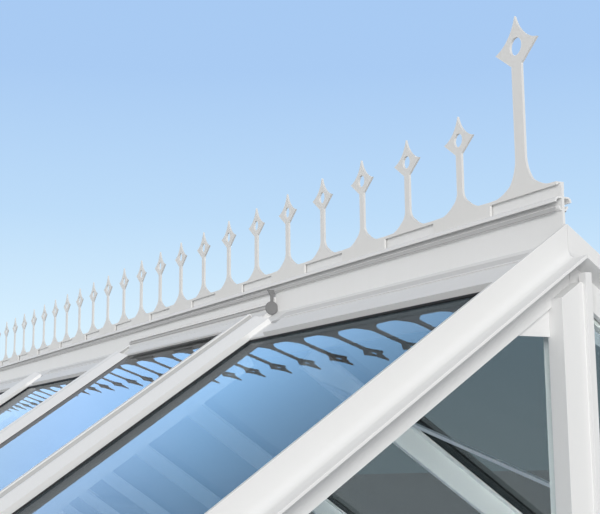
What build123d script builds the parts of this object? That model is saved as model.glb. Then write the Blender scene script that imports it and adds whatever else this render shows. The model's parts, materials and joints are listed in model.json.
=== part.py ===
from build123d import *
import os
from math import cos, radians, sin, tan

# A white glass greenhouse roof: ridge with a star cresting, glazing bars,
# panes, roof vents, glazed gables and eaves gutters. Millimetres, Z up.
# X runs along the ridge, the origin is under the middle of the roof.

# Driving dimensions: the whole roof
bay = 755.0                # from one glazing bar to the next
end_bay = 740.0            # from the last glazing bar to the gable
bay_count = 6
slope = 35.0               # pitch of the roof, degrees
half_span = 1491.0         # from the ridge line to the gutter's inner wall
eaves_height = 100.0       # from the underside to the glass at the gutter
seat = 0.3                 # gap between pieces that sit on one another

# Ridge
web_thick = 3.0
web_top = 14.0             # web's top edge above the drip moulding
ridge_rise = 57.5          # drip moulding above the point where the glass planes meet
drip_shoulder = 1.3        # flat top of the drip moulding below the cap line
drip_flat = 7.0            # how far the flat top reaches from the middle
drip_reach = 11.5
drip_drop = 7.5
drip_thick = 1.8
hook_reach = 6.5
hook_drop = 17.5
hook_lift = 5.5
wing_rise = 6.0            # ridge wing above the glass, beside the web
rib_start = 36.0           # small rib at the wing's edge, down the slope
rib_width = 3.0
rib_rise = 10.5
groove_rise = 7.0          # floor of the groove between the rib and the lip
lip_start = 44.5
lip_rise = 11.0            # raised lip over the panes' upper edge
lip_end = 85.0
notch_reach = 60.0         # the lip is cut down this far to each side of a bar
notch_rise = 5.0
glass_pocket = 26.0        # how far a pane runs in under the lip
ledge_thick = 6.0
web_overhang = 3.0         # of the upper web past the gable plane

# Cresting
spikes_per_bay = 6
crest_gap = 3.5            # from the middle of the web to the back of the plate
crest_thick = 3.0
crest_base = 13.0          # underside of the plate between two feet
crest_low = 16.5           # lowest point of the arch between two spikes
back_lip = 2.6
back_lip_drop = 7.0
arch_rise = 11.5           # from the arch's lowest point to the knee of the stem
arch_sag = 4.5
toe_rise = 0.5
neck_drop = 3.0
arch_toe = 1.2             # shares of the star's half width: end of the arch's flat
arch_knee = 0.3            # knee outside the stem
neck_share = 0.09          # neck between the knee and the stem
star_root = 0.58           # where the star leaves the stem, below its middle
star_waist = 0.33          # waist of its upper point
star_pinch = 1.15          # height of that waist over its half width
spike_top = 141.5
spike_star = 110.0         # height of the star's middle
spike_star_half = 32.0
spike_stem_half = 6.25
spike_flare = 46.0
spike_eye = 9.0            # radius
eye_sides = 12             # the spikes' eyes are made with straight sides
finial_top = 233.0
finial_star = 195.0
finial_star_half = 40.0
finial_stem_half = 9.5
finial_flare = 62.0
finial_eye = 11.0

# Glass and glazing bars
glass_thick = 4.0
bar_width = 88.0
bar_side = 13.0            # upright sides of a bar's cap above the glass
bar_rise = 22.5            # its crown, along the middle
crown_half = 4.0
seam_low = 2.8             # seam between the cap and its base strip
seam_high = 4.2
seam_depth = 1.5
bar_stem = 12.0
bar_shelf = 40.0
bar_shelf_thick = 3.0
bar_depth = 45.0           # lower edge of the inner leg below the glass
cap_overhang = 22.0        # cap and glass past the gutter's inner wall

# Roof vents
vent_length = 760.0
vent_gap = 2.0             # from the head to the middle of the bars
vent_wall = 3.0
vent_rise = 24.0           # top of the side rails above the roof's glass
vent_flange = 2.0          # thickness of the side rails' flanges
vent_flange_reach = 12.0
vent_rail_top = 21.0       # upper end of the side rails, down the slope
vent_glass = 4.6           # outer face of the vent's glass above the roof's glass
vent_ledge = 12.0
vent_ledge_thick = 2.5
vent_pane_top = 39.0
vent_lap = 40.0            # of the vent over the roof pane below it
vent_clip = 25.0           # clip over the lower edge of the vent's glass
vent_clip_thick = 2.0

# Head of a vent: hinge cover (from the middle and below the cap line), then the rail on the wing
cover_top = 25.5
cover_reach = 12.5
cover_bottom = 33.6
cover_dip = 1.0
nose_reach = 14.0
nose_top = 35.8
nose_bottom = 37.8
recess_reach = 9.5
recess_top = 38.8
recess_bottom = 44.5
head_rise = 14.3           # top of the head rail above the glass
head_start = 6.0           # down the slope
head_end = 49.5
head_groove_start = 18.0
head_groove_end = 24.0
head_groove_rise = 12.3
head_bead_rise = 16.0
head_bead_end = 39.0
head_slot_start = 43.5
head_slot_end = 45.5

# Gables
face_thick = 7.5
face_top = 20.0            # above the glass
face_bottom = 42.0         # below the glass
flange_reach = 31.0
flange_drop = 12.0
flange_thick = 3.0
edge_thick = 5.0           # upper edge of the face, beside the roof's glass
cove = 10.0                # rounding between the face and the flange
barge_shelf = 14.0
mitre_gap = 0.3
post_left = 27.0
post_right = 15.0
post_front = 25.5
post_cut = 35.0            # slanted top of the post below the glass plane
post_stem_half = 10.0
post_depth = 30.0
bead_width = 8.0
bead_offset = 2.5
bead_proud = 5.5
bead_top = 33.0            # top of the bead below the ridge's glass point
gusset_drop = 102.0
gusset_thick = 3.0
sill_height = 50.0

# Eaves gutters
gutter_width = 72.0
gutter_wall = 5.0
gutter_depth = 74.0
gutter_lip = 9.0

# Wind braces under the glass
brace_width = 22.0
brace_thick = 3.0
brace_reach = 700.0        # along the slope

# Worked out from the driving dimensions
half_length = bay * (bay_count - 2) / 2 + end_bay
spike_count = bay_count * spikes_per_bay
pitch = 2 * half_length / spike_count
cos_s = cos(radians(slope))
sin_s = sin(radians(slope))
tan_s = tan(radians(slope))
diagonal = cos(radians(45))
apex = eaves_height + glass_thick / cos_s + half_span * tan_s
ridge_z = apex + ridge_rise
glass_end = (half_span + cap_overhang) / cos_s
pane_top = lip_end - glass_pocket
bar_lines = [end_bay + bay * i - half_length for i in range(bay_count - 1)]
bay_edges = [-half_length] + bar_lines + [half_length]
vent_bay = bay_count - 2
vent_middle = (bay_edges[vent_bay] + bay_edges[vent_bay + 1]) / 2
foot_bottom = seat - drip_shoulder
edge_inner = face_thick - edge_thick
gutter_outer = half_span + gutter_width


def slope_plane(rise, side=-1):
    """Plane at a rise above the glass: local X along the ridge, local Y up the slope."""
    origin = (0, side * rise * sin_s, apex + rise * cos_s)
    return Plane(origin=origin, x_dir=(-side, 0, 0), z_dir=(0, side * sin_s, cos_s))


def across_plane(down):
    """Plane square to the near slope: local X along the ridge, local Y up from the glass."""
    origin = (0, -down * cos_s, apex - down * sin_s)
    return Plane(origin=origin, x_dir=(1, 0, 0), z_dir=(0, -cos_s, -sin_s))


def roof_point(down, rise, side=-1):
    """Point of the cross-section (Y, Z), at a distance down the slope and above the glass."""
    return (side * (down * cos_s + rise * sin_s), apex - down * sin_s + rise * cos_s)


def draw_upper_ridge(side):
    """Half of the ridge's section above the glass: web foot, wing, rib and lip."""
    web = web_thick / 2
    web_foot = (web - wing_rise * sin_s) / cos_s
    Polyline(
        (0, apex + face_top / cos_s + seat),
        (side * web, apex + face_top / cos_s + seat),
        roof_point(web_foot, wing_rise, side),
        roof_point(rib_start, wing_rise, side),
        roof_point(rib_start, rib_rise, side),
        roof_point(rib_start + rib_width, rib_rise, side),
        roof_point(rib_start + rib_width, groove_rise, side),
        roof_point(lip_start, groove_rise, side),
        roof_point(lip_start, lip_rise, side),
        roof_point(lip_end, lip_rise, side),
        roof_point(lip_end, seat, side),
        roof_point(pane_top - seat, seat, side),
        (0, apex + seat / cos_s),
        close=True,
    )


def draw_lower_ridge(side):
    """Half of the ridge's section below that: the core and the ledge under the panes."""
    under = glass_thick + seat
    core = apex - pane_top * sin_s
    Polyline(
        (0, apex + seat / cos_s),
        roof_point(pane_top - seat, seat, side),
        roof_point(pane_top - seat, -under, side),
        roof_point(lip_end, -under, side),
        roof_point(lip_end, -under - ledge_thick, side),
        (side * (web_thick / 2 + ledge_thick), core),
        (0, core),
        close=True,
    )


def draw_drip(side):
    """The curved drip moulding on one side of the web, with a flat top for the cresting's feet."""
    web = side * web_thick / 2
    flat = side * drip_flat
    reach = side * drip_reach
    inner = side * (drip_reach - drip_thick)
    top = ridge_z - drip_shoulder
    low = ridge_z - drip_drop
    inner_flat = side * (drip_flat - drip_thick)
    inner_top = top - drip_thick
    outer_mid = (flat + (reach - flat) * diagonal, low + (top - low) * diagonal)
    inner_mid = (inner_flat + (inner - inner_flat) * diagonal, low + (inner_top - low) * diagonal)
    Line((web, top), (flat, top))
    ThreePointArc((flat, top), outer_mid, (reach, low))
    Line((reach, low), (inner, low))
    ThreePointArc((inner, low), inner_mid, (inner_flat, inner_top))
    Line((inner_flat, inner_top), (web, inner_top))
    Line((web, inner_top), (web, top))


def draw_hook(side):
    """The small upturned hook under the drip moulding."""
    web = side * web_thick / 2
    reach = side * hook_reach
    inner = side * (hook_reach - drip_thick)
    low = ridge_z - hook_drop
    tip = low + hook_lift
    inner_low = low + drip_thick
    outer_mid = (web + (reach - web) * diagonal, tip - hook_lift * diagonal)
    inner_mid = (web + (inner - web) * diagonal, tip - (tip - inner_low) * diagonal)
    ThreePointArc((web, low), outer_mid, (reach, tip))
    Line((reach, tip), (inner, tip))
    ThreePointArc((inner, tip), inner_mid, (web, inner_low))
    Line((web, inner_low), (web, low))


def make_ridge():
    """The ridge beam: upright web, drip mouldings, wings with raised lips over the glass."""
    beam_half = half_length - barge_shelf - seat
    wing_half = half_length + edge_inner - seat
    web_half = half_length + web_overhang
    web_bottom = apex + face_top / cos_s + seat
    with BuildPart() as ridge:
        for side in (-1, 1):
            with BuildSketch(Plane.YZ.offset(-wing_half)):
                with BuildLine():
                    draw_upper_ridge(side)
                make_face()
            extrude(amount=2 * wing_half)
            with BuildSketch(Plane.YZ.offset(-beam_half)):
                with BuildLine():
                    draw_lower_ridge(side)
                make_face()
            extrude(amount=2 * beam_half)
            with BuildSketch(Plane.YZ.offset(-web_half)):
                with BuildLine():
                    draw_drip(side)
                make_face()
            extrude(amount=2 * web_half)
            with BuildSketch(Plane.YZ.offset(-web_half)):
                with BuildLine():
                    draw_hook(side)
                make_face()
            extrude(amount=2 * web_half)
        with BuildSketch(Plane.YZ.offset(-web_half)):
            with Locations((0, (web_bottom + ridge_z + web_top) / 2)):
                Rectangle(web_thick, ridge_z + web_top - web_bottom)
        extrude(amount=2 * web_half)
        notch = lip_end - rib_start + 2 * seat
        notch_middle = -rib_start - notch / 2
        for side in (-1, 1):
            # The lips stop short of each glazing bar
            with BuildSketch(slope_plane(notch_rise, side)):
                with Locations(*[(x, notch_middle) for x in bar_lines]):
                    Rectangle(bar_width + 2 * notch_reach, notch)
            extrude(amount=lip_rise, mode=Mode.SUBTRACT)
            # Seats of the bars, and of the vent between two of them
            with BuildSketch(slope_plane(seat, side)):
                with Locations(*[(x, notch_middle) for x in bar_lines]):
                    Rectangle(bar_width + 2 * seat, notch)
                with Locations((vent_middle, notch_middle)):
                    Rectangle(bay, notch)
            extrude(amount=lip_rise, mode=Mode.SUBTRACT)
    ridge.part.label = "ridge_beam"
    return ridge.part


def draw_plate(x, top, star, star_half, stem_half, flare, bottom):
    """One pitch of the cresting: arch foot, slender stem and four-pointed star."""
    z = ridge_z
    waist = star_half * star_waist
    for s in (-1, 1):
        side_foot = (x + s * pitch / 2, z + bottom)
        side_top = (x + s * pitch / 2, z + crest_low)
        toe = (x + s * star_half * arch_toe, z + crest_low + toe_rise)
        knee = (x + s * (stem_half + star_half * arch_knee), z + crest_low + arch_rise)
        neck_x = x + s * (stem_half + star_half * neck_share)
        stem_foot = (x + s * stem_half, z + flare)
        stem_top = (x + s * stem_half, z + star - star_half * star_root)
        star_tip = (x + s * star_half, z + star)
        Line(side_foot, side_top)
        Line(side_top, toe)
        ThreePointArc(toe, ((toe[0] + knee[0]) / 2, z + crest_low + arch_sag), knee)
        ThreePointArc(knee, (neck_x, (knee[1] + stem_foot[1]) / 2 - neck_drop), stem_foot)
        Line(stem_foot, stem_top)
        Line(stem_top, star_tip)
        ThreePointArc(star_tip, (x + s * waist, z + star + waist * star_pinch), (x, z + top))
    Line((x - pitch / 2, z + bottom), (x + pitch / 2, z + bottom))


def draw_spike(x, bottom):
    """A plain pitch of the cresting."""
    draw_plate(x, spike_top, spike_star, spike_star_half, spike_stem_half, spike_flare, bottom)


def draw_finial(x, bottom):
    """The taller end piece of the cresting."""
    draw_plate(x, finial_top, finial_star, finial_star_half, finial_stem_half, finial_flare, bottom)


def draw_crest_strip():
    """Section of the strip that lies over the web and turns down behind it."""
    web_face = web_thick / 2 + seat
    Polyline(
        (-crest_gap, ridge_z + crest_low),
        (web_face + back_lip, ridge_z + crest_low),
        (web_face + back_lip, ridge_z + back_lip_drop),
        (web_face, ridge_z + back_lip_drop),
        (web_face, ridge_z + web_top + seat),
        (-crest_gap, ridge_z + web_top + seat),
        close=True,
    )


def make_cresting(first, last, name):
    """A run of cresting plates that hooks over the web; every other plate has a foot."""
    with BuildPart() as cresting:
        with BuildSketch(Plane.XZ.offset(crest_gap)):
            for i in range(first, last + 1):
                x = half_length - pitch * (i + 0.5)
                with BuildLine():
                    draw_spike(x, foot_bottom if i % 2 else crest_base)
                make_face()
                with Locations((x, ridge_z + spike_star)):
                    RegularPolygon(spike_eye, eye_sides, mode=Mode.SUBTRACT)
        extrude(amount=crest_thick)
        with BuildSketch(Plane.YZ.offset(half_length - pitch * (last + 1))):
            with BuildLine():
                draw_crest_strip()
            make_face()
        extrude(amount=pitch * (last + 1 - first))
    cresting.part.label = name
    return cresting.part


def make_finial(x, name):
    """The finial over one gable, on a strip of its own."""
    with BuildPart() as finial:
        with BuildSketch(Plane.XZ.offset(crest_gap)):
            with BuildLine():
                draw_finial(x, crest_base)
            make_face()
            with Locations((x, ridge_z + finial_star)):
                Circle(finial_eye, mode=Mode.SUBTRACT)
        extrude(amount=crest_thick)
        with BuildSketch(Plane.YZ.offset(x - pitch / 2)):
            with BuildLine():
                draw_crest_strip()
            make_face()
        extrude(amount=pitch)
    finial.part.label = name
    return finial.part


def make_bar(x, name):
    """A glazing bar: low pitched cap over the glass, shelf and leg under it."""
    half = bar_width / 2
    under = glass_thick + seat
    with BuildPart() as glazing_bar:
        # The stem, shelf and leg start at the ridge and butt on the gutter's wall
        with BuildSketch(across_plane(lip_end + seat)):
            with Locations((x, -glass_thick / 2)):
                Rectangle(bar_stem, glass_thick + 2 * seat)
            with Locations((x, -under - bar_shelf_thick / 2)):
                Rectangle(bar_shelf, bar_shelf_thick)
            with Locations((x, -(under + bar_depth) / 2)):
                Rectangle(bar_stem, bar_depth - under)
        extrude(amount=half_span / cos_s)
        split(bisect_by=Plane.XZ.offset(half_span - seat), keep=Keep.BOTTOM)
        with BuildSketch(across_plane(rib_start + seat)):
            with BuildLine():
                Polyline(
                    (x + half, seat),
                    (x + half, seam_low),
                    (x + half - seam_depth, seam_low),
                    (x + half - seam_depth, seam_high),
                    (x + half, seam_high),
                    (x + half, bar_side),
                    (x + crown_half, bar_rise),
                    (x - crown_half, bar_rise),
                    (x - half, bar_side),
                    (x - half, seam_high),
                    (x - half + seam_depth, seam_high),
                    (x - half + seam_depth, seam_low),
                    (x - half, seam_low),
                    (x - half, seat),
                    close=True,
                )
            make_face()
        extrude(amount=glass_end - rib_start - seat)
    glazing_bar.part.label = name
    return glazing_bar.part


def make_pane(index, name):
    """A roof pane, from under the ridge lip or under the vent down to the gutter."""
    stem_edge = bar_stem / 2 + seat
    gable_edge = edge_inner - seat
    x_left = bay_edges[index] + (stem_edge if index > 0 else -gable_edge)
    x_right = bay_edges[index + 1] - (stem_edge if index < bay_count - 1 else -gable_edge)
    top = pane_top if index != vent_bay else vent_length - vent_lap
    with BuildPart() as pane:
        with BuildSketch(slope_plane(-glass_thick)):
            with Locations(((x_left + x_right) / 2, -(top + glass_end) / 2)):
                Rectangle(x_right - x_left, glass_end - top)
        extrude(amount=glass_thick)
    pane.part.label = name
    return pane.part


def draw_vent_head():
    """Section of a vent's head: hinge cover beside the web, grooved rail on the wing."""
    web_face = web_thick / 2 + seat
    under = wing_rise + seat
    over_glass = vent_glass + seat
    Polyline(
        (-web_face, apex + under / cos_s - web_face * tan_s),
        (-web_face, ridge_z - cover_top),
        (-cover_reach, ridge_z - cover_top),
        (-cover_reach, ridge_z - cover_bottom),
        (-cover_reach + cover_dip, ridge_z - cover_bottom - cover_dip),
        (-nose_reach, ridge_z - nose_top),
        (-nose_reach, ridge_z - nose_bottom),
        (-recess_reach, ridge_z - recess_top),
        (-recess_reach, ridge_z - recess_bottom),
        roof_point(head_start, head_rise),
        roof_point(head_groove_start, head_rise),
        roof_point(head_groove_start, head_groove_rise),
        roof_point(head_groove_end, head_groove_rise),
        roof_point(head_groove_end, head_bead_rise),
        roof_point(head_bead_end, head_rise),
        roof_point(head_slot_start, head_rise),
        roof_point(head_slot_start, head_groove_rise),
        roof_point(head_slot_end, head_groove_rise),
        roof_point(head_slot_end, head_rise),
        roof_point(head_end, head_rise),
        roof_point(head_end, over_glass),
        roof_point(rib_start + seat, over_glass),
        roof_point(rib_start + seat, under),
        close=True,
    )


def make_vent_frame(name):
    """A roof vent's frame: head hung beside the web, flanged side rails beside the bars."""
    x = vent_middle
    head_half = bay / 2 - vent_gap
    wall_out = (bay - bar_width) / 2 - seat
    wall_in = wall_out - vent_wall
    foot = wing_rise + seat
    lower_end = vent_length + seat + vent_clip_thick
    ledge_top = pane_top + seat
    clip_low = vent_glass + seat
    with BuildPart() as vent_frame:
        with BuildSketch(Plane.YZ.offset(x - head_half)):
            with BuildLine():
                draw_vent_head()
            make_face()
        extrude(amount=2 * head_half)
        # The head's rail stops where the bars' caps begin
        with BuildSketch(slope_plane(seat)):
            for s in (-1, 1):
                with Locations((x + s * (bay / 2 + wall_out) / 2, -(rib_start + head_end) / 2)):
                    Rectangle(bay / 2 - wall_out, head_end - rib_start + 2 * seat)
        extrude(amount=bar_rise, mode=Mode.SUBTRACT)
        # Side rails: wall and flange, then the wall's foot, then the ledge under the glass
        with BuildSketch(across_plane(vent_rail_top)):
            for s in (-1, 1):
                with Locations((x + s * (wall_in + wall_out) / 2, (foot + vent_rise) / 2)):
                    Rectangle(vent_wall, vent_rise - foot)
                with Locations((x + s * (wall_out - vent_flange_reach / 2), vent_rise - vent_flange / 2)):
                    Rectangle(vent_flange_reach, vent_flange)
        extrude(amount=lower_end - vent_rail_top)
        with BuildSketch(across_plane(ledge_top)):
            for s in (-1, 1):
                with Locations((x + s * (wall_in + wall_out) / 2, (seat + foot) / 2)):
                    Rectangle(vent_wall, foot - seat)
        extrude(amount=lower_end - ledge_top)
        with BuildSketch(across_plane(ledge_top)):
            for s in (-1, 1):
                with Locations((x + s * (wall_out - (vent_wall + vent_ledge) / 2), seat - vent_ledge_thick / 2)):
                    Rectangle(vent_wall + vent_ledge, vent_ledge_thick)
        extrude(amount=vent_length - vent_lap - seat - ledge_top)
        # Clip over the lower edge of the vent's glass
        with BuildSketch(across_plane(vent_length - vent_clip)):
            with Locations((x, clip_low + vent_clip_thick / 2)):
                Rectangle(2 * wall_in, vent_clip_thick)
        extrude(amount=lower_end - vent_length + vent_clip)
        with BuildSketch(across_plane(vent_length + seat)):
            with Locations((x, (seat + clip_low) / 2)):
                Rectangle(2 * wall_in, clip_low - seat)
        extrude(amount=vent_clip_thick)
    vent_frame.part.label = name
    return vent_frame.part


def make_vent_pane(name):
    """The vent's pane, from under the head rail down to the clip."""
    width = bay - bar_width - 2 * vent_wall - 4 * seat
    with BuildPart() as vent_pane:
        with BuildSketch(slope_plane(vent_glass - glass_thick)):
            with Locations((vent_middle, -(vent_pane_top + vent_length) / 2)):
                Rectangle(width, vent_length - vent_pane_top)
        extrude(amount=glass_thick)
    vent_pane.part.label = name
    return vent_pane.part


def make_barge(name):
    """The near gable's left bar: tall face with a drip flange, and a seat for the roof glass."""
    x = half_length
    shelf = -glass_thick - seat
    with BuildPart() as barge:
        with BuildSketch(across_plane(-2 * face_bottom)):
            with BuildLine():
                cove_middle = (x + face_thick + cove, cove - flange_drop)
                cove_half = cove * diagonal
                Polyline(
                    (x + face_thick + cove, -flange_drop),
                    (x + face_thick + flange_reach, -flange_drop),
                    (x + face_thick + flange_reach, -flange_drop - flange_thick),
                    (x + face_thick, -flange_drop - flange_thick),
                    (x + face_thick, -face_bottom),
                    (x, -face_bottom),
                    (x, shelf - ledge_thick),
                    (x - glass_thick - 2 * seat, shelf - ledge_thick),
                    (x - glass_thick - 2 * seat, -bar_depth),
                    (x - barge_shelf, -bar_depth),
                    (x - barge_shelf, shelf),
                    (x + edge_inner, shelf),
                    (x + edge_inner, face_top),
                    (x + face_thick, face_top),
                    (x + face_thick, cove - flange_drop),
                )
                ThreePointArc(
                    (x + face_thick, cove - flange_drop),
                    (cove_middle[0] - cove_half, cove_middle[1] - cove_half),
                    (x + face_thick + cove, -flange_drop),
                )
            make_face()
        extrude(amount=gutter_outer / cos_s + 4 * face_bottom)
        # Cut upright at the apex and at the gutter, and level on the sill
        reach = flange_reach + barge_shelf + face_thick
        with BuildSketch(Plane.YZ.offset(x - 2 * reach)):
            with Locations((-(gutter_outer + mitre_gap) / 2, sill_height + seat + apex / 2)):
                Rectangle(gutter_outer - mitre_gap, apex)
        extrude(amount=4 * reach, mode=Mode.INTERSECT)
    barge.part.label = name
    return barge.part


def make_post(name):
    """The near gable's middle post: stem, front cover cut to the slopes, and a round bead."""
    x = half_length
    foot = sill_height + seat
    stem_top = apex - (bar_depth + seat) / cos_s - post_stem_half * tan_s
    with BuildPart() as post:
        with BuildSketch(Plane.XY.offset(foot)):
            with Locations((x - post_depth / 2, 0)):
                Rectangle(post_depth, 2 * post_stem_half)
        extrude(amount=stem_top - foot)
        front = face_thick + seat
        with BuildSketch(Plane.YZ.offset(x + front)):
            with BuildLine():
                cut = apex - post_cut / cos_s
                Polyline(
                    (-post_left, 0),
                    (post_right, 0),
                    (post_right, cut - post_right * tan_s),
                    (0, cut),
                    (-post_left, cut - post_left * tan_s),
                    close=True,
                )
            make_face()
        extrude(amount=post_front - front)
        with BuildSketch(Plane.YZ.offset(x)):
            with BuildLine():
                cut = apex - (face_bottom + seat) / cos_s
                Polyline(
                    (-post_left, foot),
                    (post_right, foot),
                    (post_right, cut - post_right * tan_s),
                    (0, cut),
                    (-post_left, cut - post_left * tan_s),
                    close=True,
                )
            make_face()
        extrude(amount=front)
        with BuildSketch(Plane.YZ.offset(x + post_front - bead_proud)):
            with Locations((bead_offset + bead_width / 2, (apex - bead_top) / 2)):
                Rectangle(bead_width, apex - bead_top)
        extrude(amount=2 * bead_proud)
    post.part.label = name
    return post.part


def make_gusset(name):
    """The white corner plate left of the post, under the gable's left bar."""
    x = half_length
    under = (face_bottom + seat) / cos_s
    low = apex - gusset_drop
    with BuildPart() as gusset:
        with BuildSketch(Plane.YZ.offset(x)):
            with BuildLine():
                inner = -post_left - seat
                Polyline(
                    (inner, low),
                    (inner, apex - under + inner * tan_s),
                    (-(gusset_drop - under) / tan_s, low),
                    close=True,
                )
            make_face()
        extrude(amount=gusset_thick)
    gusset.part.label = name
    return gusset.part


def make_gable_pane(side, name):
    """A gable pane between the post, the sill and the slanted bar."""
    x = half_length - seat - glass_thick
    inner = post_stem_half + seat
    top = glass_thick + 2 * seat + ledge_thick + seat
    outer = half_span
    low = sill_height + seat
    with BuildPart() as pane:
        with BuildSketch(Plane.YZ.offset(x)):
            with BuildLine():
                Polyline(
                    (side * inner, low),
                    (side * inner, apex - top / cos_s - inner * tan_s),
                    (side * outer, apex - top / cos_s - outer * tan_s),
                    (side * outer, low),
                    close=True,
                )
            make_face()
        extrude(amount=glass_thick)
    pane.part.label = name
    return pane.part


def make_sill(name):
    """The level sill bar across the foot of the near gable."""
    with BuildPart() as sill:
        with BuildSketch(Plane.XY):
            with Locations((half_length + (face_thick - barge_shelf) / 2, 0)):
                Rectangle(face_thick + barge_shelf, 2 * gutter_outer)
        extrude(amount=sill_height)
    sill.part.label = name
    return sill.part


def make_gutter(name):
    """The near eaves gutter that the panes and bars end on."""
    run = half_length - barge_shelf - seat
    top = apex - half_span * tan_s - (glass_thick + seat) / cos_s
    with BuildPart() as gutter:
        with BuildSketch(Plane.YZ.offset(-run)):
            with BuildLine():
                Polyline(
                    (-half_span, 0),
                    (-gutter_outer, 0),
                    (-gutter_outer, gutter_depth),
                    (-gutter_outer + gutter_lip, gutter_depth),
                    (-gutter_outer + gutter_lip, gutter_depth - gutter_wall),
                    (-gutter_outer + gutter_wall, gutter_depth - gutter_wall),
                    (-gutter_outer + gutter_wall, gutter_wall),
                    (-half_span - gutter_wall, gutter_wall),
                    (-half_span - gutter_wall, top - gutter_wall * tan_s),
                    (-half_span, top),
                    close=True,
                )
            make_face()
        extrude(amount=2 * run)
    gutter.part.label = name
    return gutter.part


def make_brace(lean, rise, name):
    """One flat of the crossed wind brace under the near slope, in the far end bay."""
    left = -half_length + glass_thick + 3 * seat
    right = bar_lines[0] + bar_stem / 2
    top = -lip_end - 2 * brace_width
    low, high = (left, right) if lean > 0 else (right, left)
    with BuildPart() as brace:
        with BuildSketch(slope_plane(rise - brace_thick)):
            with BuildLine():
                Polyline(
                    (low, top - brace_reach),
                    (low + lean * brace_width, top - brace_reach),
                    (high, top),
                    (high - lean * brace_width, top),
                    close=True,
                )
            make_face()
        extrude(amount=brace_thick)
    brace.part.label = name
    return brace.part


def write(part, name):
    part.label = name
    export_step(part, f"parts/{name}.step")


def write_pair(part, near_name, far_name):
    """A piece, and its twin turned half a turn about the upright middle axis."""
    write(part, near_name)
    with BuildPart() as twin:
        add(part.rotate(Axis.Z, 180))
    write(twin.part, far_name)


os.makedirs("parts", exist_ok=True)

write(make_ridge(), "ridge_beam")
half_run = spike_count // 2
write(make_cresting(1, half_run - 1, "cresting_near"), "cresting_near")
write(make_cresting(half_run, spike_count - 2, "cresting_far"), "cresting_far")
write(make_finial(half_length - pitch / 2, "finial_near"), "finial_near")
write(make_finial(pitch / 2 - half_length, "finial_far"), "finial_far")

for number, line in enumerate(bar_lines, start=1):
    write_pair(make_bar(line, "bar"), f"glazing_bar_front_{number}", f"glazing_bar_back_{number}")

for index in range(bay_count):
    write_pair(make_pane(index, "pane"), f"roof_pane_front_{index + 1}", f"roof_pane_back_{index + 1}")

write_pair(make_vent_frame("vent"), "vent_frame_front", "vent_frame_back")
write_pair(make_vent_pane("vent"), "vent_pane_front", "vent_pane_back")

left_barge = make_barge("barge")
write_pair(left_barge, "barge_bar_near_left", "barge_bar_far_left")
with BuildPart() as right_barge:
    mirror(left_barge, about=Plane.XZ)
write_pair(right_barge.part, "barge_bar_near_right", "barge_bar_far_right")

write_pair(make_post("post"), "gable_post_near", "gable_post_far")
write_pair(make_gusset("gusset"), "gusset_near", "gusset_far")
write_pair(make_gable_pane(-1, "pane"), "gable_pane_near_left", "gable_pane_far_left")
write_pair(make_gable_pane(1, "pane"), "gable_pane_near_right", "gable_pane_far_right")
write_pair(make_sill("sill"), "gable_sill_near", "gable_sill_far")
write_pair(make_gutter("gutter"), "gutter_front", "gutter_back")

brace_under = -bar_depth - seat
write_pair(make_brace(1, brace_under, "brace"), "brace_front_1", "brace_back_1")
second_under = brace_under - brace_thick - seat
write_pair(make_brace(-1, second_under, "brace"), "brace_front_2", "brace_back_2")
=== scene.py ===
import json
from math import cos, pi, radians, sin, tan

import bmesh
import bpy
from mathutils import Matrix, Vector


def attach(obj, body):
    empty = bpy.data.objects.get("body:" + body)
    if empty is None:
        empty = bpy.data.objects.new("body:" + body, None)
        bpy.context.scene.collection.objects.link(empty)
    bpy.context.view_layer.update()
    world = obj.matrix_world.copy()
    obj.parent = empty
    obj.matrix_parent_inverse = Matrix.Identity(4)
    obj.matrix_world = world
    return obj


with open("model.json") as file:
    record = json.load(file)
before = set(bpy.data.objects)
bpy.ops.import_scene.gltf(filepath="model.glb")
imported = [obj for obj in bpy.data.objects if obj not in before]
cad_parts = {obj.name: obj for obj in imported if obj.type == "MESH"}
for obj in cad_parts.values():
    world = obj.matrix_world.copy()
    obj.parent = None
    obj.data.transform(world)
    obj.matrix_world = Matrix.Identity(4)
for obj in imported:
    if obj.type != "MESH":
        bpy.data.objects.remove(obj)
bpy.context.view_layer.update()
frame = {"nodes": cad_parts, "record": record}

# Sizes of the roof in metres, as the solids have them
bay = 0.755
end_bay = 0.740
bay_count = 6
spikes_per_bay = 6
slope = radians(35.0)
half_span = 1.491
eaves_rise = 0.100
cap_rise = 0.0575
glass_thick = 0.004
glass_overhang = 0.022
bar_half = 0.044
lip_end = 0.085
notch_half = 0.061
vent_length = 0.760

half_length = bay * (bay_count - 2) / 2 + end_bay
spike_pitch = 2 * half_length / (spikes_per_bay * bay_count)
apex = eaves_rise + glass_thick / cos(slope) + half_span * tan(slope)
ridge_z = apex + cap_rise
glass_end = (half_span + glass_overhang) / cos(slope)
bar_lines = [end_bay + bay * i - half_length for i in range(bay_count - 1)]
bay_edges = [-half_length] + bar_lines + [half_length]
vent_bay = bay_count - 2
vent_left, vent_right = bay_edges[vent_bay], bay_edges[vent_bay + 1]


def slope_point(x, down, rise, side):
    """A point of a slope: down it and above its glass. The back slope is half a turn round."""
    y = down * cos(slope) + rise * sin(slope)
    z = apex - down * sin(slope) + rise * cos(slope)
    return Vector((-side * x, side * y, z))


def web_point(x, out, below, side):
    """A point beside the ridge's web: out from its middle and below the cap line."""
    return Vector((-side * x, side * out, ridge_z - below))


# Helpers for node trees

def new_group(name, inputs, outputs):
    """A shader node group with named inputs and outputs."""
    group = bpy.data.node_groups.new(name, "ShaderNodeTree")
    for label, kind, value in inputs:
        socket = group.interface.new_socket(label, in_out="INPUT", socket_type=kind)
        socket.default_value = value
    for label, kind in outputs:
        group.interface.new_socket(label, in_out="OUTPUT", socket_type=kind)
    return group, group.nodes.new("NodeGroupInput"), group.nodes.new("NodeGroupOutput")


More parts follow.
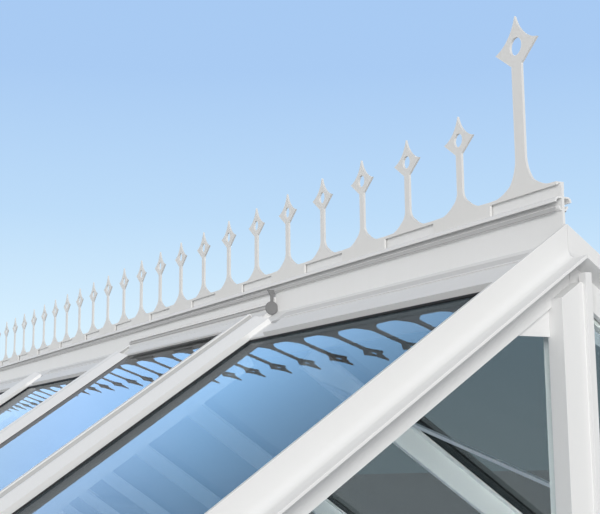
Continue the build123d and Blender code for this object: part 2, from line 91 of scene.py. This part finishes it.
def add_node(tree, kind, links=(), **values):
    """A node with some of its settings, and (input, source or value) pairs."""
    node = tree.nodes.new(kind)
    for key, value in values.items():
        setattr(node, key, value)
    for name, source in links:
        if isinstance(source, bpy.types.NodeSocket):
            tree.links.new(source, node.inputs[name])
        else:
            node.inputs[name].default_value = source
    return node


def place_group(tree, group, **values):
    """One of the shared groups in a material, with this finish's own values."""
    node = tree.nodes.new("ShaderNodeGroup")
    node.node_tree = group
    for name, value in values.items():
        node.inputs[name].default_value = value
    return node


def new_material(name):
    """An empty node material with its output."""
    material = bpy.data.materials.new(name)
    material.use_nodes = True
    tree = material.node_tree
    tree.nodes.clear()
    return material, tree, tree.nodes.new("ShaderNodeOutputMaterial")


def colour_between(tree, mask, clean, marked):
    """A colour that goes from one to another as a mask rises. The first may be a socket."""
    if not isinstance(clean, bpy.types.NodeSocket):
        clean = (*clean, 1)
    return add_node(tree, "ShaderNodeMix",
                    [("Factor", mask), ("A", clean), ("B", (*marked, 1))], data_type="RGBA")


def ray_mask(tree, first, *others):
    """One for rays of any of the named kinds, and zero for the rest."""
    path = tree.nodes.new("ShaderNodeLightPath")
    mask = path.outputs[first]
    for kind in others:
        either = add_node(tree, "ShaderNodeMath", [(0, mask), (1, path.outputs[kind])],
                          operation="MAXIMUM")
        mask = either.outputs[0]
    return mask


def height_ramp(tree, height, stops):
    """A colour that changes with a height, through (place, colour) stops."""
    ramp = add_node(tree, "ShaderNodeValToRGB", [("Fac", height)])
    while len(ramp.color_ramp.elements) < len(stops):
        ramp.color_ramp.elements.new(0.5)
    for element, (place, colour) in zip(ramp.color_ramp.elements, stops):
        element.position = place
        element.color = (*colour, 1)
    return ramp


# Node groups that several finishes share

def make_skin_group():
    """Fine pebbled skin of a powder coat or of rubber, as a height."""
    group, given, result = new_group(
        "coat_skin", [("Scale", "NodeSocketFloat", 900.0)], [("Height", "NodeSocketFloat")])
    place = add_node(group, "ShaderNodeTexCoord")
    fine = add_node(group, "ShaderNodeTexNoise",
                    [("Vector", place.outputs["Object"]), ("Scale", given.outputs["Scale"]),
                     ("Detail", 2.0), ("Roughness", 0.5)])
    group.links.new(fine.outputs["Fac"], result.inputs["Height"])
    return group


def make_weather_group():
    """Faint rain streaks that run down the slopes, with soft patches, as a mask."""
    group, given, result = new_group(
        "rain_streaks",
        [("Streaks", "NodeSocketFloat", 1.0), ("Patches", "NodeSocketFloat", 1.0)],
        [("Mask", "NodeSocketFloat")])
    place = add_node(group, "ShaderNodeTexCoord")
    stretch = add_node(group, "ShaderNodeMapping",
                       [("Vector", place.outputs["Object"]), ("Scale", (60.0, 2.2, 3.0))])
    streak = add_node(group, "ShaderNodeTexNoise",
                      [("Vector", stretch.outputs[0]), ("Scale", 1.0), ("Detail", 4.0),
                       ("Roughness", 0.6)])
    patch = add_node(group, "ShaderNodeTexNoise",
                     [("Vector", place.outputs["Object"]), ("Scale", 3.5), ("Detail", 3.0)])
    streaks = add_node(group, "ShaderNodeMath",
                       [(0, streak.outputs["Fac"]), (1, given.outputs["Streaks"])],
                       operation="MULTIPLY")
    both = add_node(group, "ShaderNodeMath",
                    [(0, patch.outputs["Fac"]), (1, given.outputs["Patches"]),
                     (2, streaks.outputs[0])], operation="MULTIPLY_ADD")
    half = add_node(group, "ShaderNodeMath", [(0, both.outputs[0]), (1, 0.5)],
                    operation="MULTIPLY")
    group.links.new(half.outputs[0], result.inputs["Mask"])
    return group


def make_highlight_edge_group():
    """A mask of the arrises, where the softened normal turns away from the surface's; the coats
    paint a highlight there.
    """
    group, given, result = new_group(
        "painted_highlight_arris", [("Radius", "NodeSocketFloat", 0.0015)], [("Mask", "NodeSocketFloat")])
    soft = add_node(group, "ShaderNodeBevel", [("Radius", given.outputs["Radius"])], samples=4)
    surface = add_node(group, "ShaderNodeNewGeometry")
    turn = add_node(group, "ShaderNodeVectorMath",
                    [(0, soft.outputs[0]), (1, surface.outputs["Normal"])],
                    operation="DOT_PRODUCT")
    mask = add_node(group, "ShaderNodeMapRange",
                    [("Value", turn.outputs["Value"]), ("From Min", 0.99), ("From Max", 0.80),
                     ("To Min", 0.0), ("To Max", 1.0)])
    group.links.new(mask.outputs[0], result.inputs["Mask"])
    return group


coat_skin = make_skin_group()
rain_streaks = make_weather_group()
painted_highlight_arris = make_highlight_edge_group()


# Finishes

def painted(name, clean, streaked, arris_highlight, roughness, skin_scale, skin_depth):
    """Powder coat: rain streaks, a painted highlight along the arrises and a pebbled skin."""
    material, tree, output = new_material(name)
    weather = place_group(tree, rain_streaks, Streaks=1.0, Patches=1.0)
    streaks = colour_between(tree, weather.outputs["Mask"], clean, streaked)
    # Painted highlight: the arrises are painted paler, as if their edges caught the light
    highlight_edges = place_group(tree, painted_highlight_arris)
    colour = colour_between(tree, highlight_edges.outputs["Mask"], streaks.outputs["Result"], arris_highlight)
    skin = place_group(tree, coat_skin, Scale=skin_scale)
    bump = add_node(tree, "ShaderNodeBump",
                    [("Height", skin.outputs["Height"]), ("Distance", skin_depth)])
    gloss = add_node(tree, "ShaderNodeMapRange",
                     [("Value", weather.outputs["Mask"]), ("To Min", roughness - 0.05),
                      ("To Max", roughness + 0.08)])
    shader = add_node(tree, "ShaderNodeBsdfPrincipled",
                      [("Base Color", colour.outputs["Result"]), ("Roughness", gloss.outputs[0]),
                       ("Normal", bump.outputs[0]), ("Specular IOR Level", 0.2)])
    tree.links.new(shader.outputs[0], output.inputs[0])
    return material


def float_glass(name, clean, filmed):
    """Float glass with a faint film of rain marks; lamps shine through it.

    Its low index keeps what it mirrors from the roof itself dark beside the mirrored panel.
    """
    material, tree, output = new_material(name)
    weather = place_group(tree, rain_streaks, Streaks=0.8, Patches=1.2)
    colour = colour_between(tree, weather.outputs["Mask"], clean, filmed)
    shader = add_node(tree, "ShaderNodeBsdfPrincipled",
                      [("Base Color", colour.outputs["Result"]), ("Roughness", 0.0),
                       ("IOR", 1.05), ("Transmission Weight", 1.0)])
    clear = add_node(tree, "ShaderNodeBsdfTransparent", [("Color", (0.80, 0.85, 0.86, 1))])
    path = tree.nodes.new("ShaderNodeLightPath")
    mix = add_node(tree, "ShaderNodeMixShader",
                   [(0, path.outputs["Is Shadow Ray"]), (1, shader.outputs[0]),
                    (2, clear.outputs[0])])
    tree.links.new(mix.outputs[0], output.inputs[0])
    return material


def mill_aluminium(name, dull, bright):
    """Uncoated aluminium flats with rolling marks."""
    material, tree, output = new_material(name)
    place = tree.nodes.new("ShaderNodeTexCoord")
    stretch = add_node(tree, "ShaderNodeMapping",
                       [("Vector", place.outputs["Object"]), ("Scale", (4.0, 300.0, 300.0))])
    grain = add_node(tree, "ShaderNodeTexNoise",
                     [("Vector", stretch.outputs[0]), ("Scale", 1.0), ("Detail", 3.0)])
    colour = colour_between(tree, grain.outputs["Fac"], dull, bright)
    gloss = add_node(tree, "ShaderNodeMapRange",
                     [("Value", grain.outputs["Fac"]), ("To Min", 0.32), ("To Max", 0.48)])
    bump = add_node(tree, "ShaderNodeBump",
                    [("Height", grain.outputs["Fac"]), ("Distance", 0.00002)])
    shader = add_node(tree, "ShaderNodeBsdfPrincipled",
                      [("Base Color", colour.outputs["Result"]), ("Roughness", gloss.outputs[0]),
                       ("Normal", bump.outputs[0]), ("Metallic", 1.0)])
    tree.links.new(shader.outputs[0], output.inputs[0])
    return material


def moulded_rubber(name, fresh, chalked):
    """Matt rubber of the seals and stops, and the flat grey of the sheets and strips of painted
    shade, a little chalked by the weather.
    """
    material, tree, output = new_material(name)
    weather = place_group(tree, rain_streaks, Streaks=0.4, Patches=1.6)
    colour = colour_between(tree, weather.outputs["Mask"], fresh, chalked)
    skin = place_group(tree, coat_skin, Scale=1500.0)
    bump = add_node(tree, "ShaderNodeBump",
                    [("Height", skin.outputs["Height"]), ("Distance", 0.00006)])
    shader = add_node(tree, "ShaderNodeBsdfPrincipled",
                      [("Base Color", colour.outputs["Result"]), ("Roughness", 0.7),
                       ("Normal", bump.outputs[0]), ("Specular IOR Level", 0.25)])
    tree.links.new(shader.outputs[0], output.inputs[0])
    return material


# The third colour of each coat is its painted highlight along the arrises
frame_coat = painted("white_frame_coat", (0.865, 0.865, 0.87), (0.81, 0.81, 0.80),
                     (0.95, 0.95, 0.95), 0.50, 700.0, 0.00005)
# The bars' coat is the frame's white painted brighter: a painted sheen, as if the bars' tops
# caught more light
bar_coat_painted_sheen = painted("white_bar_coat_painted_sheen", (0.945, 0.945, 0.945), (0.90, 0.90, 0.895),
                   (0.97, 0.97, 0.97), 0.45, 700.0, 0.00005)
cast_coat = painted("white_casting_coat", (0.83, 0.825, 0.815), (0.77, 0.765, 0.75),
                    (0.90, 0.90, 0.895), 0.55, 380.0, 0.00012)
# The roof panes are the same float glass as the gable panes, tinted far darker: painted shade on
# what is seen through the roof
roof_glass = float_glass("roof_float_glass_shade_darkened", (0.19, 0.21, 0.22), (0.165, 0.185, 0.195))
gable_glass = float_glass("gable_float_glass", (0.84, 0.86, 0.84), (0.77, 0.79, 0.77))
bare_flat = mill_aluminium("mill_aluminium", (0.58, 0.59, 0.60), (0.70, 0.71, 0.72))
seal_rubber = moulded_rubber("black_seal_rubber", (0.018, 0.018, 0.020), (0.045, 0.045, 0.045))
stop_rubber = moulded_rubber("grey_stop_rubber", (0.20, 0.20, 0.205), (0.26, 0.26, 0.26))
# Flat greys for the sheets and strips of painted shade on the ridge and the vent, where their
# recesses and undersides fall in shade
wing_shade_grey = moulded_rubber("wing_painted_shade", (0.66, 0.66, 0.66), (0.74, 0.74, 0.735))
shade_strip_grey = moulded_rubber("painted_shade_strip_grey", (0.46, 0.46, 0.465), (0.54, 0.54, 0.535))

finishes = {"white_frame": frame_coat, "white_casting": cast_coat, "glass": roof_glass,
            "bare_metal": bare_flat}
panes = bpy.data.collections.new("roof_glass_panes")
for subpart in frame["record"]["subparts"]:
    node = frame["nodes"][subpart["node"]]
    finish = finishes[subpart["material_slot"]]
    if "gable_pane" in subpart["node"]:
        finish = gable_glass
    elif finish == roof_glass:
        panes.objects.link(node)
    # Glazing bars take the white that is painted brighter as sheen
    elif "glazing_bar" in subpart["node"]:
        finish = bar_coat_painted_sheen
    node.data.materials.clear()
    node.data.materials.append(finish)


# Pieces that the solids leave to the scene

def new_piece(name, mesh, material, bevel=0.0):
    """An object of the roof with its finish, and rounded edges where it asks for them."""
    bmesh.ops.recalc_face_normals(mesh, faces=mesh.faces)
    data = bpy.data.meshes.new(name)
    mesh.to_mesh(data)
    mesh.free()
    data.materials.append(material)
    piece = bpy.data.objects.new(name, data)
    bpy.context.scene.collection.objects.link(piece)
    if bevel:
        rounding = piece.modifiers.new("rounded_edges", "BEVEL")
        rounding.width = bevel
        rounding.segments = 2
        rounding.limit_method = "ANGLE"
    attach(piece, "root")
    return piece


def add_prism(mesh, start, end):
    """A closed prism between two outlines of the same count."""
    low = [mesh.verts.new(point) for point in start]
    high = [mesh.verts.new(point) for point in end]
    count = len(low)
    for i in range(count):
        mesh.faces.new((low[i], low[(i + 1) % count], high[(i + 1) % count], high[i]))
    mesh.faces.new(low[::-1])
    mesh.faces.new(high)


def run_along(mesh, section, left, right, side, place=slope_point):
    """A section that runs along the ridge, set on the slope or beside the web."""
    add_prism(mesh, [place(left, *point, side) for point in section],
              [place(right, *point, side) for point in section])


def run_down(mesh, section, top, low, side):
    """A section across a bay that runs down the slope."""
    add_prism(mesh, [slope_point(x, top, rise, side) for x, rise in section],
              [slope_point(x, low, rise, side) for x, rise in section])


def beside(line, inward, section):
    """A section measured from a bar's middle line into the bay."""
    return [(line + inward * out, rise) for out, rise in section]


def oblong(start, end, low, high):
    """A rectangular section."""
    return (start, low), (end, low), (end, high), (start, high)


# Each section is a list of points in metres. On the slope they are across the bay or down
# the slope, and then above the roof's glass. At the web they are out from it and below its cap.
# A short or an inset is how far a piece stops before the end of what it lies on.
vent_edges = ((vent_left, 1), (vent_right, -1))
trim_gap = 0.0002

# Glazing seals
seal_width = 0.0035
seal_height = 0.0030
seal_foot = 0.0001
seal_upright = 0.35
seal_steps = 5
seal_short = 0.002
vent_seal_gap = 0.0030

# End stop of the vent's hinge
stop_gap = 0.0006
stop_thick = 0.0032
disc_proud = 0.0006
disc_centre = (0.0120, 0.0445)
disc_radius = 0.0112
disc_points = 28
stop_bevel = 0.0005
stop_funnel = ((0.0196, 0.0140), (0.0044, 0.0140), (0.0058, 0.0186), (0.0089, 0.0236),
               (0.0094, 0.0300), (0.0094, 0.0345), (0.0140, 0.0345), (0.0139, 0.0300),
               (0.0142, 0.0240), (0.0172, 0.0190))

# Grey strips of painted shade on the vent, in its recesses and beside its rails; those at its
# head are given by their start and width
head_shade_strips = ((0.0182, 0.0056), (0.0436, 0.0018))
head_strip_heights = (0.0123, 0.0136, 0.0140)
head_strip_inset = 0.0500
rail_shade_strip = ((0.0431, 0.0138), (0.0440, 0.0138), (0.0440, 0.0215), (0.0434, 0.0221),
              (0.0429, 0.0180))
rail_strip_top = 0.0225
rail_strip_short = 0.002
recess_shade_strip = ((0.0098, 0.0392), (0.0126, 0.0392), (0.0132, 0.0405), (0.0128, 0.0436),
                (0.0098, 0.0440))
recess_inset = 0.0024

# Sealed unit of the vent, over the pane that the solids have
unit_edge = 0.0478
unit_top = 0.0505
unit_short = 0.0275
unit_low = vent_length - unit_short
outer_pane_rise = 0.0070
outer_pane_top = outer_pane_rise + glass_thick
spacer_width = 0.0090
spacer_low = 0.0047
spacer_high = 0.0069

# Beads of the vent, which seat on the outer pane; the low one is measured from its end
bead_seat = outer_pane_top + trim_gap
bead_reach = 0.0992
bead_bevel = 0.0004
side_bead = ((0.0476, bead_seat), (bead_reach, bead_seat), (bead_reach, 0.0122),
             (0.0984, 0.0128), (0.0570, 0.0236), (0.0566, 0.0236), (0.0566, 0.0218),
             (0.0476, 0.0218))
side_bead_top = 0.0500
side_bead_short = 0.0260
low_bead = ((-0.0120, bead_seat), (-0.0120, 0.0122), (0.0060, 0.0128), (0.0180, 0.0080),
            (0.0180, 0.0071), (0.0003, 0.0071), (0.0003, bead_seat))
low_bead_inset = bead_reach + trim_gap

# Strips of painted shade on the ridge: grey sheets on the wing, in the groove behind each lip
# and on the hook
groove_shade_strip = ((0.0393, 0.0071), (0.0442, 0.0071), (0.0442, 0.0084), (0.0418, 0.0089),
                (0.0393, 0.0084))
wing_shade_strip = ((0.0110, 0.0061), (0.0350, 0.0061), (0.0350, 0.0069), (0.0342, 0.0073),
                  (0.0118, 0.0073), (0.0110, 0.0069))
hook_shade_strip = ((0.0066, 0.0123), (0.0077, 0.0127), (0.0077, 0.0172), (0.0066, 0.0176))
ridge_end_gap = 0.002


def make_ridge_shade_strips(side, label):
    """Grey sheets of painted shade: on the wing beside the web, in the groove behind each lip
    and on the hook under the drip.
    """
    strips, flat = bmesh.new(), bmesh.new()
    for i in range(bay_count):
        if i != vent_bay:
            left = bay_edges[i] + (notch_half if i > 0 else ridge_end_gap)
            right = bay_edges[i + 1] - (notch_half if i < bay_count - 1 else ridge_end_gap)
            run_along(strips, groove_shade_strip, left, right, side)
            run_along(flat, wing_shade_strip, left, right, side)
    run_along(strips, hook_shade_strip, ridge_end_gap - half_length, half_length - ridge_end_gap,
              side, web_point)
    new_piece(f"ridge_wing_painted_shade_{label}", flat, wing_shade_grey)
    new_piece(f"ridge_painted_shade_strips_{label}", strips, shade_strip_grey)


def seal_section(start):
    """Section of a seal that lies on the glass: flat foot and rounded back."""
    points = [(start + seal_width, seal_foot), (start, seal_foot)]
    for i in range(seal_steps + 1):
        turn = pi * i / seal_steps
        across = start + seal_width / 2 * (1 - cos(turn))
        points.append((across, seal_height * (seal_upright + (1 - seal_upright) * sin(turn))))
    return points


def make_slope_seals(side, label):
    """Seals along the bars' caps and under the ridge lips of one slope."""
    mesh = bmesh.new()
    low = glass_end - seal_short
    for i in range(bay_count):
        left, right = bay_edges[i], bay_edges[i + 1]
        top = vent_length + vent_seal_gap if i == vent_bay else lip_end + trim_gap
        if i > 0:
            left += bar_half + trim_gap
            run_down(mesh, seal_section(left), top, low, side)
        if i < bay_count - 1:
            right -= bar_half + trim_gap
            run_down(mesh, seal_section(right - seal_width), top, low, side)
        if i != vent_bay:
            run_along(mesh, seal_section(top), left, right, side)
    new_piece(f"glazing_seals_{label}", mesh, seal_rubber)


def make_vent_stop(side, label):
    """Rubber stop that closes the end of the vent's hinge: funnel and disc."""
    mesh = bmesh.new()
    start = vent_right + stop_gap
    turns = [2 * pi * i / disc_points for i in range(disc_points)]
    disc = [(disc_centre[0] + disc_radius * cos(turn), disc_centre[1] + disc_radius * sin(turn))
            for turn in turns]
    run_along(mesh, stop_funnel, start, start + stop_thick, side, web_point)
    run_along(mesh, disc, start, start + stop_thick + disc_proud, side, web_point)
    new_piece(f"vent_end_stop_{label}", mesh, stop_rubber, bevel=stop_bevel)


def make_vent_shade_strips(side, label):
    """Grey strips of painted shade on the vent: at its head, beside its rails and under its
    nose, where its recesses fall in shade.
    """
    mesh = bmesh.new()
    base, shoulder, crown = head_strip_heights
    for start, wide in head_shade_strips:
        end = start + wide
        section = ((start, base), (start, shoulder), (start + wide / 2, crown),
                   (end, shoulder), (end, base))
        run_along(mesh, section, vent_left + head_strip_inset, vent_right - head_strip_inset,
                  side)
    for line, inward in vent_edges:
        run_down(mesh, beside(line, inward, rail_shade_strip), rail_strip_top,
                 vent_length - rail_strip_short, side)
    run_along(mesh, recess_shade_strip, vent_left + recess_inset, vent_right - recess_inset, side,
              web_point)
    new_piece(f"vent_painted_shade_strips_{label}", mesh, shade_strip_grey)


def make_vent_glass(side, label):
    """Outer pane of the vent's slim sealed unit, which mirrors the panel as the roof does."""
    mesh = bmesh.new()
    section = oblong(unit_top, unit_low, outer_pane_rise, outer_pane_top)
    run_along(mesh, section, vent_left + unit_edge, vent_right - unit_edge, side)
    panes.objects.link(new_piece(f"vent_outer_pane_{label}", mesh, roof_glass))


def make_vent_spacers(side, label):
    """Spacer frame between the two panes of the vent's sealed unit."""
    mesh = bmesh.new()
    left, right = vent_left + unit_edge, vent_right - unit_edge
    for start in (left, right - spacer_width):
        section = oblong(start, start + spacer_width, spacer_low, spacer_high)
        run_down(mesh, section, unit_top, unit_low, side)
    for start in (unit_top, unit_low - spacer_width):
        section = oblong(start, start + spacer_width, spacer_low, spacer_high)
        run_along(mesh, section, left + spacer_width, right - spacer_width, side)
    new_piece(f"vent_spacers_{label}", mesh, seal_rubber)


def make_vent_beads(side, label):
    """White bevelled beads that hold the vent's sealed unit to its rails and its clip."""
    mesh = bmesh.new()
    for line, inward in vent_edges:
        run_down(mesh, beside(line, inward, side_bead), side_bead_top,
                 vent_length - side_bead_short, side)
    run_along(mesh, beside(unit_low, 1, low_bead), vent_left + low_bead_inset,
              vent_right - low_bead_inset, side)
    new_piece(f"vent_glazing_beads_{label}", mesh, bar_coat_painted_sheen,
              bevel=bead_bevel)


for side, label in ((-1, "front"), (1, "back")):
    make_ridge_shade_strips(side, label)
    make_slope_seals(side, label)
    make_vent_stop(side, label)
    make_vent_shade_strips(side, label)
    make_vent_glass(side, label)
    make_vent_spacers(side, label)
    make_vent_beads(side, label)

# Camera at the photograph's viewing angle, set by its distances from the near finial
camera_beyond = 1.046
camera_aside = 0.823
camera_below = 0.274
yaw, pitch_up, roll = radians(26.69), radians(9.43), radians(-0.51)
camera_data = bpy.data.cameras.new("camera")
camera = bpy.data.objects.new("camera", camera_data)
bpy.context.scene.collection.objects.link(camera)
view = Vector((-cos(yaw) * cos(pitch_up), sin(yaw) * cos(pitch_up), sin(pitch_up)))
level = view.cross(Vector((0, 0, 1))).normalized()
upright = level.cross(view)
camera_right = cos(roll) * level + sin(roll) * upright
camera_up = -sin(roll) * level + cos(roll) * upright
finial_x = half_length - spike_pitch / 2
spot = Vector((finial_x + camera_beyond, -camera_aside, ridge_z - camera_below))
aim = Matrix((camera_right, camera_up, -view)).transposed()
camera.matrix_world = Matrix.Translation(spot) @ aim.to_4x4()
camera_data.sensor_width = 36.0
camera_data.lens = 68.3
camera_data.clip_start = 0.01
bpy.context.scene.camera = camera


# Soft studio light

def add_sun(name, direction, strength, spread, colour):
    """A broad soft lamp that shines from a direction, the same all over the roof."""
    data = bpy.data.lights.new(name, "SUN")
    data.energy = strength
    data.angle = spread
    data.color = colour
    lamp = bpy.data.objects.new(name, data)
    lamp.rotation_euler = Vector(direction).to_track_quat("Z", "Y").to_euler()
    bpy.context.scene.collection.objects.link(lamp)


def add_blue_panel(direction, distance, width, height, radiance):
    """A broad blue panel beyond the ridge that only the roof's glass mirrors."""
    data = bpy.data.lights.new("blue_panel", "AREA")
    data.shape = "RECTANGLE"
    data.size = width
    data.size_y = height
    # A panel's power counts for four times its area
    data.energy = radiance * 4 * width * height
    data.use_nodes = True
    tree = data.node_tree
    tree.nodes.clear()
    surface = tree.nodes.new("ShaderNodeNewGeometry")
    split = add_node(tree, "ShaderNodeSeparateXYZ", [(0, surface.outputs["Parametric"])])
    blue = height_ramp(tree, split.outputs["Y"], (
        (0.0, (0.11, 0.17, 0.23)), (0.20, (0.12, 0.18, 0.26)), (0.34, (0.22, 0.34, 0.51)),
        (0.47, (0.30, 0.50, 0.82)), (0.66, (0.30, 0.60, 1.0)), (1.0, (0.32, 0.62, 1.0))))
    # The panel dims towards the corner that the farther bays mirror
    corner = add_node(tree, "ShaderNodeMath",
                      [(0, split.outputs["X"]), (1, 1.2), (2, split.outputs["Y"])],
                      operation="MULTIPLY_ADD")
    dimmed = add_node(tree, "ShaderNodeMapRange",
                      [("Value", corner.outputs[0]), ("From Min", 1.15), ("From Max", 1.24),
                       ("To Min", 0.72), ("To Max", 1.0)])
    shine = add_node(tree, "ShaderNodeEmission",
                     [("Color", blue.outputs[0]), ("Strength", dimmed.outputs[0])])
    output = tree.nodes.new("ShaderNodeOutputLight")
    tree.links.new(shine.outputs[0], output.inputs[0])
    panel = bpy.data.objects.new("blue_panel", data)
    panel.location = distance * direction
    panel.rotation_euler = direction.to_track_quat("Z", "Y").to_euler()
    panel.visible_camera = False
    panel.visible_diffuse = False
    panel.visible_transmission = False
    panel.light_linking.receiver_collection = panes
    bpy.context.scene.collection.objects.link(panel)


def add_floor():
    """A plain pale floor with a faint glow of its own where it is seen or mirrored."""
    bpy.ops.mesh.primitive_plane_add(size=60, location=(0, 0, 0))
    floor = bpy.context.object
    floor.name = "floor"
    paint, tree, output = new_material("pale_floor")
    diffuse = add_node(tree, "ShaderNodeBsdfDiffuse", [("Color", (0.78, 0.79, 0.80, 1))])
    glow = add_node(tree, "ShaderNodeEmission",
                    [("Color", (0.80, 0.85, 0.90, 1)), ("Strength", 0.30)])
    lit = add_node(tree, "ShaderNodeAddShader", [(0, diffuse.outputs[0]), (1, glow.outputs[0])])
    seen = ray_mask(tree, "Is Camera Ray", "Is Glossy Ray")
    mix = add_node(tree, "ShaderNodeMixShader",
                   [(0, seen), (1, diffuse.outputs[0]), (2, lit.outputs[0])])
    tree.links.new(mix.outputs[0], output.inputs[0])
    floor.data.materials.append(paint)


def make_world():
    """A blue backdrop where it is seen or mirrored, and soft pale light on all else."""
    world = bpy.data.worlds.new("studio")
    bpy.context.scene.world = world
    world.use_nodes = True
    tree = world.node_tree
    tree.nodes.clear()
    output = tree.nodes.new("ShaderNodeOutputWorld")
    direction = tree.nodes.new("ShaderNodeTexCoord")
    split = add_node(tree, "ShaderNodeSeparateXYZ", [(0, direction.outputs["Generated"])])
    pale = height_ramp(tree, split.outputs["Z"], (
        (0.0, (0.78, 0.92, 0.99)), (0.10, (0.68, 0.87, 1.0)), (0.20, (0.51, 0.72, 0.95)),
        (0.32, (0.40, 0.60, 0.90)), (1.0, (0.28, 0.48, 0.84))))
    soft = add_node(tree, "ShaderNodeBackground",
                    [("Color", (0.98, 0.99, 1.0, 1)), ("Strength", 0.45)])
    backdrop = add_node(tree, "ShaderNodeBackground",
                        [("Color", pale.outputs[0]), ("Strength", 1.0)])
    seen = ray_mask(tree, "Is Camera Ray", "Is Transmission Ray", "Is Glossy Ray")
    mix = add_node(tree, "ShaderNodeMixShader",
                   [(0, seen), (1, soft.outputs[0]), (2, backdrop.outputs[0])])
    tree.links.new(mix.outputs[0], output.inputs[0])


add_sun("key_panel", (0.80, -0.60, 0.14), 2.0, radians(25), (1.0, 0.99, 0.97))
add_sun("fill_panel", (-0.55, 0.75, 0.35), 0.65, radians(40), (0.96, 0.98, 1.0))
add_blue_panel(Vector((-0.92, 0.19, 0.36)), distance=13.0, width=12.0, height=9.0,
               radiance=5.0)
add_floor()
make_world()
bpy.context.scene.view_settings.view_transform = "Standard"
